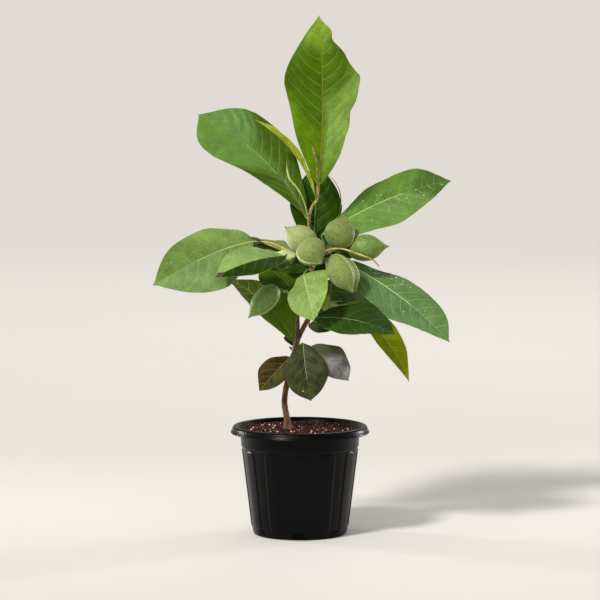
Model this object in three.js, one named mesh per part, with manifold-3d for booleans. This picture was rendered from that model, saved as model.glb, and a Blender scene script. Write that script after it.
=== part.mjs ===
// A young fruit tree in its nursery pot: one leaning stem with a fork, broad leaves on short shoots,
// a cluster of velvety green fruit, and a ribbed black pot full of potting mix.
// Millimetres, +Z up. The origin is the middle of the pot's flat underside, and the front faces -Y.
import * as THREE from "three";
import { mergeVertices } from "three/addons/utils/BufferGeometryUtils.js";
import Module from "manifold-3d";

const wasm = await Module();
wasm.setup();

// Driving sizes
const GAP = 0.3; // clearance between neighbouring solids
const POT_HEIGHT = 128;
const RIM_RADIUS = 81.3; // outermost edge of the rolled rim
const BASE_RADIUS = 55; // body just above the underside
const SHOULDER_RADIUS = 67.8; // body just under the collar
const SHOULDER_HEIGHT = 103;
const COLLAR_RADIUS = 69.6;
const WALL = 1.6;
const FLOOR = 2;
const RIBS = 12;
const RIB_RELIEF = 0.9;
const RIB_HALF_ANGLE = THREE.MathUtils.degToRad(8);
const DRAINS = 7;
const DRAIN_WIDTH = 14;
const DRAIN_TOP = 9.3;
const DRAIN_TURN = THREE.MathUtils.degToRad(-2);
const SOIL_TOP = 124;
const SOIL_ROUGHNESS = 1.1;
const POT_SEGMENTS = 48;

const TRUNK_RADIUS = [3.6, 2.2]; // at the soil and at the tip
const FLARE = 2.2; // what the root flare adds to the trunk's radius at the soil
const FLARE_FADE = 5; // height in which the flare falls to about a third
const LEAF_THICKNESS_SHARE = 0.0105; // of the leaf's length
const BLADE_STEPS = [4, 8]; // fewest and most faces along a blade
const STEP_LENGTH = 15; // of a short blade's faces
const BLADE_COLUMNS = 4; // faces across a blade
const BLADE_END = 0.7; // half-width left at a blade's two ends
const LEAF_FOLD = THREE.MathUtils.degToRad(12); // how far the two halves rise from the midrib
const LEAF_ROLL = 0.12; // how far the margins roll back down
const PETIOLE_RADIUS = [1.3, 1.0];
const STALK_RADIUS = [1.4, 1.6];

// Outlines of half a blade: where it is widest, and the powers of its rise to there and fall from there
const HALF_SHAPES = {
  oval: [0.46, 0.5, 1.6],
  obovate: [0.6, 0.54, 1.7],
  pointed: [0.64, 0.54, 0.95],
  blunt: [0.55, 0.7, 2.7],
  full: [0.72, 0.85, 3.6],
  shouldered: [0.62, 0.3, 1.9],
  plump: [0.5, 0.45, 2.3],
  broad: [0.45, 0.36, 1.8],
  round: [0.48, 0.5, 2.0],
  young: [0.6, 0.6, 1.5],
  spoon: [0.62, 0.75, 2.3],
  slim: [0.64, 0.8, 2.1],
  hooked: [0.6, 0.34, 1.1],
  eared: [0.15, 0.15, 2.2],
};

// Routes of the limbs and of each mass's own stem, with their radius at both ends
const STEMS = {
  trunk: {
    route: [[-13.5, 0, SOIL_TOP - 4], [-16, 0, 140], [-18, 0, 152], [-17.5, 0, 164], [-14, 0, 184],
      [-8, 0, 205], [-3.5, 0, 226], [3.5, 0, 242], [9.5, 1, 254], [13, 4, 275], [13.5, 9, 303],
      [12, 14, 327]],
    radius: TRUNK_RADIUS,
  },
  side_bough: {
    route: [[-3.5, -1, 226], [-3, -3, 243], [-2.5, -3, 257], [-4.5, -1, 272]],
    radius: [2.3, 1.7],
  },
  top_shoot: {
    route: [[12, 14, 327 + GAP], [10.5, 19, 345], [10.5, 17, 362], [11.5, 13, 375], [14.5, 9, 384],
      [20, 6, 393], [21, 4, 404], [21.5, 3, 412]],
    radius: [2.0, 1.5],
  },
  right_leaves: { route: [[13, 12, 315], [23, 11, 325], [37, 9, 332]], radius: [1.9, 1.4] },
  left_leaves: { route: [[12.5, 13, 320], [1, 3, 327], [-9, -8, 331]], radius: [1.8, 1.3] },
  front_fruit: { route: [[13.5, 10, 308], [15, -5, 313], [18.5, -15, 319]], radius: [1.8, 1.4] },
  low_right_leaves: { route: [[13, 4, 275], [22, 5, 275], [33, 8, 271]], radius: [1.8, 1.4] },
  low_left_leaves: { route: [[-4.6, -1, 272.5], [-10.5, 3, 280], [-16.5, 4, 287]], radius: [1.6, 1.2] },
  back_leaves: { route: [[13.5, 8, 299], [14, 14, 304], [14, 20, 311]], radius: [1.8, 1.4] },
  front_sprig: { route: [[-6.5, 0, 213], [-4.5, -6, 217], [-2.5, -10, 221]], radius: [1.7, 1.3] },
  back_sprig: { route: [[-6.5, 0, 214], [-7, 6, 216], [-8, 10, 218]], radius: [1.7, 1.3] },
};

// The leaves of each mass. at: how far along its stem a leaf grows. petiole: from the stem to the blade.
// blade: from its base to its tip. face: which way its upper side looks. left and right: each half's
// width and outline. lift and bow: how far the midrib arches up and to the right, with its bend at bend.
const LEAVES = {
  top_shoot: [
    { at: 0.93, petiole: [0.5, -3, 1], blade: [0, 21, 197], face: [0.05, -1, 0.1], left: [45, "obovate"],
      right: [43, "pointed"], lift: 4, bow: 4.5, wave: 3 },
    { at: 0.34, petiole: [-4, 2, 4], blade: [-127, 58, 117], face: [0.25, -0.9, 0.45], left: [41, "full"],
      right: [42, "blunt"], lift: 5, bow: 13.5, wave: 1.5 },
    { at: 0.7, petiole: [-3, -6, 9], blade: [-69, 12, 84], face: [0.5, -0.5, 0.8], left: [8, "young"],
      right: [8, "young"], lift: 3, bow: 15, wave: 0.5 },
    { at: 0.06, petiole: [4, 12, 0], blade: [6, 26, 98], face: [0.1, -1, 0.2], left: [31, "oval"],
      right: [32, "oval"], lift: 2, wave: 1 },
  ],
  right_leaves: [
    { at: 0.75, petiole: [-4, 4, 22], blade: [153, 49, 60], face: [0.05, -0.72, 0.7], left: [30, "spoon"],
      right: [40, "broad"], lift: 2, bow: -9, bend: 0.55, wave: 2 },
    { at: 0.9, petiole: [4, 13, -7], blade: [135, -58, -94], face: [0.35, -0.78, 0.52], left: [28, "slim"],
      right: [38, "hooked"], lift: 3, bow: -9, wave: 1.5 },
  ],
  left_leaves: [
    { at: 0.95, petiole: [-45, -11, 15], blade: [-116, -48, -47], face: [-0.1, -1, 0.3], left: [45, "plump"],
      right: [32, "shouldered"], lift: 4, bow: 5, bend: 0.35, wave: 2 },
    { at: 1.0, petiole: [-9, -16, -2], blade: [-79, -54, -20], face: [0, -0.5, 1], left: [31, "plump"],
      right: [32, "oval"], lift: 6, wave: 1 },
    { at: 0.55, petiole: [-12, 8, 0], blade: [-60, 78, 6], face: [0, -0.3, 1], left: [24, "oval"],
      right: [24, "oval"], lift: 4, wave: 1 },
    { at: 1.0, petiole: [5, -7, -2], blade: [-33, -8, -2], face: [0.2, -1, 0.5], left: [18, "blunt"],
      right: [6, "round"], lift: 3, wave: 1 },
  ],
  front_fruit: [
    { at: 0.5, petiole: [-11.5, -28, -5], blade: [12, -41, -50], face: [-0.1, -0.85, 0.5], left: [27, "eared"],
      right: [25, "blunt"], lift: 8, bow: -1, wave: 1.5 },
  ],
  low_right_leaves: [
    { at: 0.5, petiole: [-5, -22, -19], blade: [92, -66, -12], face: [0.1, -0.62, 0.78], left: [33, "oval"],
      right: [33, "oval"], lift: 6, bow: -3, wave: 1 },
    { at: 1.0, petiole: [28, 8, -1], blade: [67, -2, -92], face: [0.3, -1, 0.2], left: [19, "oval"],
      right: [12, "oval"], lift: 4, bow: -6, wave: 1 },
    { at: 0.9, petiole: [-7, 6, 12], blade: [64, 44, -8], face: [0, -0.9, 0.4], left: [26, "round"],
      right: [24, "round"], lift: 4, wave: 1 },
    { at: 0.35, petiole: [-9, -13, -29], blade: [30, -20, -2], face: [0.1, -0.8, 0.5], left: [14, "round"],
      right: [10, "round"], lift: 2, wave: 0.5 },
    { at: 0.35, petiole: [9, -8, -13], blade: [5, -4, 20], face: [0.3, -1, 0.2], left: [5, "oval"],
      right: [4, "oval"], lift: 2, wave: 0.5 },
  ],
  low_left_leaves: [
    { at: 0.6, petiole: [5, 7, 3], blade: [-36, 52, 26], face: [0, -0.7, 0.7], left: [26, "oval"],
      right: [26, "eared"], lift: 4, wave: 1 },
  ],
  back_leaves: [],
  front_sprig: [
    { at: 1.0, petiole: [6, -3, 5], blade: [9, -15, -66], face: [0, -1, 0.25], left: [26, "plump"],
      right: [26, "plump"], lift: 5, bow: 1, wave: 1.2 },
    { at: 0.55, petiole: [-7, -3, -8], blade: [-36, -7, -39], face: [-0.2, -1, 0.3], left: [15, "round"],
      right: [19, "round"], lift: 3, wave: 1 },
    { at: 0.8, petiole: [13, 1, 0], blade: [47, -3, -38], face: [0.2, -0.9, 0.5], left: [21, "round"],
      right: [19, "round"], lift: 4, bow: -3, wave: 1 },
  ],
  back_sprig: [
    { at: 0.6, petiole: [0, 2, 9], blade: [-80, 75, 67], face: [0.35, -0.8, 0.6], left: [20, "oval"],
      right: [33, "oval"], lift: 4, bow: 9, wave: 1 },
    { at: 1.0, petiole: [2, 3, 1], blade: [-6, 21, 14], face: [0, -0.5, 1], left: [10, "round"],
      right: [10, "round"], lift: 2, wave: 0.5 },
  ],
};

// Leaves that fill the back of the crown, grown by one rule. turn: degrees from straight back towards +X.
// rise: degrees above level. lean: how far its upper side looks back instead of up.
const BACK_LEAVES = {
  top_shoot: [
    { at: 0.95, turn: 0, rise: 71, length: 104, lean: -1 },
    { at: 0.3, turn: 8, rise: 5, length: 124 },
  ],
  right_leaves: [{ at: 0.45, turn: 46, rise: 18, length: 132 }],
  left_leaves: [{ at: 0.3, turn: -60, rise: 7, length: 124 }],
  low_right_leaves: [
    { at: 1.0, turn: 72, rise: -12, length: 112 },
    { at: 0.5, turn: 36, rise: -22, length: 112 },
  ],
  low_left_leaves: [{ at: 0.8, turn: 30, rise: -16, length: 104 }],
  back_leaves: [
    { at: 0.9, turn: 24, rise: 17, length: 140 },
    { at: 0.9, turn: -32, rise: 4, length: 140 },
    { at: 0.5, turn: -2, rise: -14, length: 135 },
  ],
  back_sprig: [{ at: 0.8, turn: 15, rise: -16, length: 62 }],
};
const BACK_PETIOLE_SHARE = 0.12; // of the blade's length
const BACK_WIDTH_SHARE = 0.225; // of the blade's length, each half
const BACK_ARCH_SHARE = 0.07; // of the blade's length

// Fruit. stalk: from the stem to the fruit. reach: from its stalk end to its point.
const FRUIT = {
  left_leaves: [
    { at: 0.35, stalk: [13, -5, 10], reach: [-35, -12, 27], width: 32 },
  ],
  front_fruit: [
    { at: 1.0, stalk: [-15, -11, 26], reach: [22, -16, -24], width: 35 },
    { at: 0.8, stalk: [19, -11, 13], reach: [26, -14, -43], width: 31 },
    { at: 0.9, stalk: [29, -4, 8], reach: [19, -8, -40], width: 27 },
  ],
  right_leaves: [
    { at: 0.6, stalk: [14.5, -17, 10.5], reach: [15, 4, 38], width: 36 },
    { at: 1.0, stalk: [18, -10, 3], reach: [49, -6, 4], width: 31 },
  ],
  low_left_leaves: [
    { at: 0.4, stalk: [-17, -24, 15], reach: [-34, -14, -36], width: 27 },
  ],
};

// Bare twigs and furled buds: where each bends, measured from the stem
const TWIGS = {
  right_leaves: [
    { at: 0.6, bends: [[8, -16, 8], [22, -25, 10], [37, -31, 6], [58, -32, -2], [67, -31, -11]],
      radius: [1.6, 1.1] },
  ],
  left_leaves: [
    { at: 1.0, bends: [[-20, -13, 8], [-36, -17, 14], [-46, -19, 18], [-52, -19, 21]], radius: [1.4, 0.7] },
  ],
  low_right_leaves: [
    { at: 0.95, bends: [[3, -2, 8], [4, -3, 18], [4, -2, 27]], radius: [1.6, 1.2] },
  ],
  top_shoot: [
    { at: 0.33, bends: [[-6, -15, 24], [-14, -17, 40], [-23, -16, 51], [-27, -12, 70]], radius: [1.5, 0.8] },
    { at: 0.9, bends: [[-1, -8, 15], [-2, -10, 28], [-5, -11, 42], [-8, -11, 51]], radius: [1.5, 0.7] },
  ],
};

const COLOURS = {
  pot: [0x17181a, 0.42],
  soil: [0x4a2a1c, 0.95],
  trunk: [0x7d5638, 0.8],
  side_bough: [0x5f3f2a, 0.8],
  top_shoot: [0x5d9a2a, 0.45],
  right_leaves: [0x4d8040, 0.42],
  left_leaves: [0x5b8f3a, 0.45],
  front_fruit: [0x9db076, 0.6],
  low_right_leaves: [0x3d6430, 0.45],
  low_left_leaves: [0x4c7d34, 0.45],
  back_leaves: [0x47763a, 0.45],
  front_sprig: [0x3c4a2e, 0.4],
  back_sprig: [0x55833a, 0.45],
};

// Helpers

// A number from 0 to 1 that depends on its seed alone
function hash01(seed) {
  const v = Math.sin(seed * 12.9898) * 43758.5453;
  return v - Math.floor(v);
}

const vec = (p) => new THREE.Vector3(...p);

function stemCurve(name) {
  return new THREE.CatmullRomCurve3(STEMS[name].route.map(vec), false, "catmullrom");
}

// A closed three.js geometry as a solid
function solid(geometry) {
  const bare = geometry.clone();
  bare.deleteAttribute("normal");
  bare.deleteAttribute("uv");
  const merged = mergeVertices(bare, 1e-4);
  const triVerts = [];
  const index = merged.index.array;
  for (let i = 0; i < index.length; i += 3) {
    const [a, b, c] = [index[i], index[i + 1], index[i + 2]];
    if (a !== b && b !== c && c !== a) triVerts.push(a, b, c);
  }
  return new wasm.Manifold(new wasm.Mesh({
    numProp: 3,
    vertProperties: merged.attributes.position.array,
    triVerts: new Uint32Array(triVerts),
  }));
}

// A solid as a three.js geometry
function geometryOf(manifold) {
  const mesh = manifold.getMesh();
  const geometry = new THREE.BufferGeometry();
  geometry.setAttribute("position", new THREE.BufferAttribute(new Float32Array(mesh.vertProperties), 3));
  geometry.setIndex(new THREE.BufferAttribute(new Uint32Array(mesh.triVerts), 1));
  const flat = geometry.toNonIndexed();
  flat.computeVertexNormals();
  return flat;
}

// Moves each vertex of a geometry to where place(x, y, z) puts it
function reshape(geometry, place) {
  const position = geometry.attributes.position;
  for (let i = 0; i < position.count; i++) {
    const p = place(position.getX(i), position.getY(i), position.getZ(i));
    position.setXYZ(i, p.x, p.y, p.z);
  }
  return geometry;
}

// A closed round limb along a curve. radiusAt gives its radius from 0 at its root to 1 at its tip.
function limb(curve, radiusAt, sides, steps) {
  const frames = curve.computeFrenetFrames(steps, false);
  const cylinder = new THREE.CylinderGeometry(1, 1, 1, sides, steps);
  return solid(reshape(cylinder, (x, y, z) => {
    const u = y + 0.5;
    const i = Math.round(u * steps);
    return curve.getPointAt(u)
      .addScaledVector(frames.binormals[i], x * radiusAt(u))
      .addScaledVector(frames.normals[i], z * radiusAt(u));
  }));
}

const taper = ([root, tip], extra = 0) => (u) => root + (tip - root) * u + extra;

// One leaf of the back, with its width and tilt varied by its seed
function backLeaf({ at, turn, rise, length, lean = 0.25 }, seed) {
  const way = new THREE.Vector3().setFromSphericalCoords(
    1,
    THREE.MathUtils.degToRad(90 - rise),
    THREE.MathUtils.degToRad(turn),
  );
  const [x, y, z] = [way.x, way.z, way.y];
  const width = length * BACK_WIDTH_SHARE * (0.94 + 0.12 * hash01(seed));
  return {
    at,
    petiole: [x, y, z].map((v) => v * length * BACK_PETIOLE_SHARE),
    blade: [x, y, z].map((v) => v * length),
    face: [0.3 * (hash01(seed + 1) - 0.5), lean, 1],
    left: [width, "oval"],
    right: [width, "obovate"],
    lift: length * BACK_ARCH_SHARE,
    wave: 2,
  };
}

// Half-width of a blade as a share of its greatest, t from 0 at its base to 1 at its tip
function outline(t, [widest, rise, fall]) {
  if (t > widest) return 1 - ((t - widest) / (1 - widest)) ** fall;
  const y = t / widest;
  return y ** rise * (1 + 0.25 * y ** 3 * (1 - y));
}

// The arched surface of a leaf: its midrib, the frame along it and the height across it
function bladeSurface(leaf, base, seed) {
  const span = vec(leaf.blade);
  const along = span.clone().normalize();
  const up = vec(leaf.face).addScaledVector(along, -vec(leaf.face).dot(along)).normalize();
  const side = along.clone().cross(up);
  const tip = base.clone().add(span);
  const bend = base.clone().addScaledVector(span, leaf.bend ?? 0.5)
    .addScaledVector(up, 2 * leaf.lift).addScaledVector(side, 2 * (leaf.bow ?? 0));
  const midrib = new THREE.QuadraticBezierCurve3(base, bend, tip);
  const phase = hash01(seed) * 2 * Math.PI;
  return (t, s, height) => {
    const [width, shape] = s < 0 ? leaf.left : leaf.right;
    const half = width * outline(t, HALF_SHAPES[shape]) + BLADE_END;
    const tangent = midrib.getTangent(t);
    const normal = up.clone().addScaledVector(tangent, -up.dot(tangent)).normalize();
    const across = tangent.clone().cross(normal);
    const ripple = Math.sin(2 * Math.PI * 2.6 * t + phase + (s > 0 ? 1.7 : 0)) * s * s
      * Math.min(1, (2 * half) / width);
    const out = half * Math.cos(LEAF_FOLD) + 0.35 * leaf.wave * ripple;
    const rise = half * (Math.sin(LEAF_FOLD) * Math.abs(s) - LEAF_ROLL * s * s) + leaf.wave * ripple;
    return midrib.getPoint(t).addScaledVector(across, s * out).addScaledVector(normal, rise + height);
  };
}

// A leaf: its blade, and a petiole that runs on under the midrib
function leafSolid(leaf, root, seed) {
  const base = root.clone().add(vec(leaf.petiole));
  const surface = bladeSurface(leaf, base, seed);
  const length = vec(leaf.blade).length();
  const thickness = Math.max(0.9, length * LEAF_THICKNESS_SHARE);
  const steps = THREE.MathUtils.clamp(Math.round(length / STEP_LENGTH), ...BLADE_STEPS);
  const blade = solid(reshape(
    new THREE.BoxGeometry(2, 1, thickness, BLADE_COLUMNS, steps, 1),
    (x, y, z) => surface(y + 0.5, x, z),
  ));
  const sag = vec(leaf.petiole).length() * 0.08;
  const middle = root.clone().lerp(base, 0.5).add(new THREE.Vector3(0, 0, sag));
  const route = [root, middle, surface(0, 0, -0.2), surface(0.08, 0, -0.2)];
  return blade.add(limb(new THREE.CatmullRomCurve3(route), taper(PETIOLE_RADIUS), 4, 4));
}

// A fruit: an egg with a short point, on a stalk that is sunk in its end
function fruitSolid(fruit, root) {
  const base = root.clone().add(vec(fruit.stalk));
  const reach = vec(fruit.reach);
  const length = reach.length();
  const turn = new THREE.Quaternion();
  turn.setFromUnitVectors(new THREE.Vector3(0, 1, 0), reach.clone().normalize());
  const egg = solid(reshape(new THREE.SphereGeometry(1, 10, 8), (x, y, z) => {
    const t = (y + 1) / 2;
    const radius = (fruit.width / 2) * (1.04 - 0.08 * t);
    const height = length * (0.92 * t + 0.08 * t ** 12);
    return new THREE.Vector3(x * radius, height, z * radius).applyQuaternion(turn).add(base);
  }));
  const middle = root.clone().lerp(base, 0.5).add(new THREE.Vector3(0, 0, 1));
  const sunk = base.clone().addScaledVector(reach, 3 / length);
  return egg.add(limb(new THREE.CatmullRomCurve3([root, middle, sunk]), taper(STALK_RADIUS), 5, 3));
}

function twigSolid(twig, root) {
  const route = [root, ...twig.bends.map((bend) => root.clone().add(vec(bend)))];
  return limb(new THREE.CatmullRomCurve3(route), taper(twig.radius), 4, 2 * twig.bends.length);
}

// The limbs

// The trunk flares into its roots, and is cut flat at the soil. extra thickens a limb all over, to cut
// its clearance from a neighbour.
function trunkSolid(extra = 0) {
  const curve = stemCurve("trunk");
  const plain = taper(TRUNK_RADIUS, extra);
  const flare = (u) => FLARE * Math.exp((SOIL_TOP - curve.getPointAt(u).z) / FLARE_FADE);
  const whole = limb(curve, (u) => plain(u) + Math.min(flare(u), FLARE), 10, 24);
  const below = new THREE.BoxGeometry(60, 60, 20).translate(0, 0, SOIL_TOP + GAP - 10);
  return whole.subtract(solid(below));
}

function sideBoughSolid(extra = 0) {
  return limb(stemCurve("side_bough"), taper(STEMS.side_bough.radius, extra), 8, 6);
}

// A mass: everything that grows from its one stem, cut clear of the limbs beside it
function massSolid(name, clearances) {
  const curve = stemCurve(name);
  const at = (share) => curve.getPoint(share);
  const pieces = [limb(curve, taper(STEMS[name].radius), 6, 2 * STEMS[name].route.length)];
  const back = (BACK_LEAVES[name] ?? []).map((leaf, i) => backLeaf(leaf, 31 * i + name.length));
  [...LEAVES[name], ...back].forEach((leaf, i) => {
    pieces.push(leafSolid(leaf, at(leaf.at), i + name.length));
  });
  (FRUIT[name] ?? []).forEach((fruit) => pieces.push(fruitSolid(fruit, at(fruit.at))));
  (TWIGS[name] ?? []).forEach((twig) => pieces.push(twigSolid(twig, at(twig.at))));
  let mass = pieces.reduce((whole, piece) => whole.add(piece));
  clearances.forEach((limbSolid) => {
    mass = mass.subtract(limbSolid);
  });
  const bodies = mass.decompose();
  if (bodies.length !== 1) throw new Error(`${name} falls into ${bodies.length} bodies`);
  return mass;
}

// The pot and its filling

// The wall's outer radius at a height, below the collar
function bodyRadius(z) {
  return THREE.MathUtils.mapLinear(z, 0, SHOULDER_HEIGHT, BASE_RADIUS, SHOULDER_RADIUS);
}

// Half a section of the pot, from the middle of the underside round the rim to the middle of the floor
function potProfile() {
  const skirt = POT_HEIGHT - 8.5;
  return [
    [0, 0], [BASE_RADIUS - 2, 0], [BASE_RADIUS - 0.4, 1.2], [bodyRadius(5), 5], [bodyRadius(12), 12],
    [bodyRadius(52), 52], [bodyRadius(93), 93], [bodyRadius(99), 99], [SHOULDER_RADIUS, SHOULDER_HEIGHT],
    [COLLAR_RADIUS - 0.6, SHOULDER_HEIGHT + 1.2], [COLLAR_RADIUS, 117], [COLLAR_RADIUS + 2, 123],
    [RIM_RADIUS - 2.6, 123.6], [RIM_RADIUS - 1.3, skirt], [RIM_RADIUS, skirt], [RIM_RADIUS, skirt + 2.5],
    [RIM_RADIUS - 1.2, 126.2], [RIM_RADIUS - 3.5, POT_HEIGHT], [RIM_RADIUS - 7, POT_HEIGHT],
    [RIM_RADIUS - 9.3, 126.6], [COLLAR_RADIUS - WALL + 0.6, 121], [COLLAR_RADIUS - WALL, 115],
    [SHOULDER_RADIUS - WALL, SHOULDER_HEIGHT - 1], [bodyRadius(FLOOR) - WALL, FLOOR], [0, FLOOR],
  ];
}

// How far a rib stands out at a height and an angle round the pot
function ribRelief(z, angle) {
  const pitch = (2 * Math.PI) / RIBS;
  const away = Math.abs(angle - Math.round(angle / pitch) * pitch);
  return z > 8 && z < 96 && away < RIB_HALF_ANGLE ? RIB_RELIEF : 0;
}

function potSolid() {
  const profile = potProfile().map(([r, z]) => new THREE.Vector2(r, z));
  const turned = new THREE.LatheGeometry(profile, POT_SEGMENTS).rotateX(Math.PI / 2);
  const ribbed = reshape(turned, (x, y, z) => {
    const radius = Math.hypot(x, y);
    const outside = Math.abs(radius - bodyRadius(z)) < WALL / 2;
    const relief = outside ? ribRelief(z, Math.atan2(x, -y)) : 0;
    const grow = 1 + relief / Math.max(radius, 1);
    return new THREE.Vector3(x * grow, y * grow, z);
  });
  let pot = solid(ribbed);
  const height = DRAIN_TOP - FLOOR;
  for (let i = 0; i < DRAINS; i++) {
    const slot = new THREE.BoxGeometry(DRAIN_WIDTH, 8, height)
      .translate(0, -BASE_RADIUS, FLOOR + height / 2)
      .rotateZ(DRAIN_TURN + (i * 2 * Math.PI) / DRAINS);
    pot = pot.subtract(solid(slot));
  }
  return pot;
}

// The potting mix fills the pot to just under the rim, with a rough top that is flat round the trunk
function soilSolid() {
  const foot = vec(STEMS.trunk.route[0]);
  const inside = (z) => bodyRadius(z) - WALL - 2 * GAP;
  const collar = COLLAR_RADIUS - WALL - GAP;
  const rings = [63, 50, 37, 24, 10];
  const profile = [
    [0, FLOOR + GAP], [inside(FLOOR), FLOOR + GAP], [inside(60), 60], [inside(101), 101],
    [collar, 115], [collar, SOIL_TOP - 2], ...rings.map((r) => [r, SOIL_TOP]), [0, SOIL_TOP],
  ].map(([r, z]) => new THREE.Vector2(r, z));
  const turned = new THREE.LatheGeometry(profile, 36).rotateX(Math.PI / 2);
  return solid(reshape(turned, (x, y, z) => {
    const onTop = z > SOIL_TOP - 0.5 && Math.hypot(x - foot.x, y) > 16;
    const seed = Math.round(x * 3) + 7.3 * Math.round(y * 3);
    return new THREE.Vector3(x, y, onTop ? z - SOIL_ROUGHNESS * hash01(seed) : z);
  }));
}

// The whole plant

const clearTrunk = trunkSolid(GAP);
const clearBough = sideBoughSolid(GAP);
const solids = {
  pot: potSolid(),
  soil: soilSolid(),
  trunk: trunkSolid(),
  side_bough: sideBoughSolid().subtract(clearTrunk),
};
Object.keys(LEAVES).forEach((name) => {
  solids[name] = massSolid(name, [clearTrunk, clearBough]);
});

const group = new THREE.Group();
Object.entries(solids).forEach(([name, body]) => {
  const [color, roughness] = COLOURS[name];
  const mesh = new THREE.Mesh(
    geometryOf(body),
    new THREE.MeshStandardMaterial({ color, roughness, metalness: 0 }),
  );
  mesh.name = name;
  group.add(mesh);
});

export default group;
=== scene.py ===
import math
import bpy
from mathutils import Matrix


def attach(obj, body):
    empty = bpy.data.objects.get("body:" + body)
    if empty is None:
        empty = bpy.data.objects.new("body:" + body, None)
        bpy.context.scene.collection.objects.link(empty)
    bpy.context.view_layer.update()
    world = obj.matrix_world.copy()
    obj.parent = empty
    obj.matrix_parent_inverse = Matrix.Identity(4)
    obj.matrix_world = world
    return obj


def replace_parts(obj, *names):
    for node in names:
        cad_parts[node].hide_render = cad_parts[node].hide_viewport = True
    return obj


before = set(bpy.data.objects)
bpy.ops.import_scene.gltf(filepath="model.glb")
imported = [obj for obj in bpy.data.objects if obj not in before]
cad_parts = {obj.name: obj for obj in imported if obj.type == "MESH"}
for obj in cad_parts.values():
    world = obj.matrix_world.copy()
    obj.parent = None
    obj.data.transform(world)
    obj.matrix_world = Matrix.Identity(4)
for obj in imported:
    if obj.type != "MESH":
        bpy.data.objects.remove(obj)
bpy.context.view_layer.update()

# The looks of a young fruit tree in its nursery pot. The plant is grown again here by the rules of the
# part's source, in millimetres, with finer leaves, fruit, twigs and bark. +Z is up and the front faces -Y.
from types import SimpleNamespace

import bpy
import numpy as np
from mathutils import Vector, noise

MM = 0.001

# Sizes that the source drives the solids with
GAP = 0.3
POT_HEIGHT = 128
RIM_RADIUS = 81.3
BASE_RADIUS = 55
SHOULDER_RADIUS = 67.8
SHOULDER_HEIGHT = 103
COLLAR_RADIUS = 69.6
WALL = 1.6
FLOOR = 2
RIBS = 12
RIB_RELIEF = 0.9
RIB_HALF_ANGLE = math.radians(8)
RIB_SPAN = (8, 101)
DRAINS = 7
DRAIN_WIDTH = 14
DRAIN_TOP = 9.3
DRAIN_TURN = math.radians(-2)
SOIL_TOP = 124
TRUNK_RADIUS = (3.6, 2.2)
FLARE = 2.2
FLARE_FADE = 5
LEAF_FOLD = 12
LEAF_ROLL = 0.12
PETIOLE_RADIUS = (1.3, 1.0)
STALK_RADIUS = (1.4, 1.6)
BACK_PETIOLE_SHARE = 0.12
BACK_WIDTH_SHARE = 0.225
BACK_ARCH_SHARE = 0.07

# Finer sizes of this script's own
VEIN_ROWS = 8  # rows of faces from one side vein of a leaf to the next
LEAF_COLUMNS = 28
LEAF_THICKNESS = 0.44
BLADE_END = 0.28
MARGIN = 0.982  # where the coloured margin of a leaf starts, as a share of its half-width
QUILT = 0.5  # how far the blade swells between its side veins
CRUMPLE = 0.55  # how far it rises and falls besides
VEIN_SPACING = 15.5
VEIN_REACH = (0.62, 0.40)  # how far forward a side vein runs, by its distance from the midrib
LAST_VEIN = 0.94
BUMP_LENGTH = 0.035
NECK = 0.35  # how much a blade narrows at its base
NECK_LENGTH = 0.1
POINT_BROWN = 0.988  # where the brown point of a fruit starts, as a share of its length
FRUIT_GRID = (72, 96)  # rows and columns of faces
TRUNK_GRID = (420, 48)
BOUGH_GRID = (110, 36)
POT_SEGMENTS = 408
FILL_SEGMENTS = 160
CHIPS = 3900
PERLITE = (54, 9)  # bits spread over the mix, and bits close together at the front left
CAMERA_PLACE = (0, -4.0, 0.6688)  # in metres, as the next two
CAMERA_AIM = (0, 0, 0.2753)
LAMP_AIM = (0, 0, 0.33)

# Outlines of half a blade: where it is widest, and the powers of its rise to there and fall from there
HALF_SHAPES = {
    "oval": (0.46, 0.5, 1.6),
    "obovate": (0.6, 0.54, 1.7),
    "pointed": (0.64, 0.54, 0.95),
    "blunt": (0.55, 0.7, 2.7),
    "full": (0.72, 0.85, 3.6),
    "shouldered": (0.62, 0.3, 1.9),
    "plump": (0.5, 0.45, 2.3),
    "broad": (0.45, 0.36, 1.8),
    "round": (0.48, 0.5, 2.0),
    "young": (0.6, 0.6, 1.5),
    "spoon": (0.62, 0.75, 2.3),
    "slim": (0.64, 0.8, 2.1),
    "hooked": (0.6, 0.34, 1.1),
    "eared": (0.15, 0.15, 2.2),
}

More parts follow.
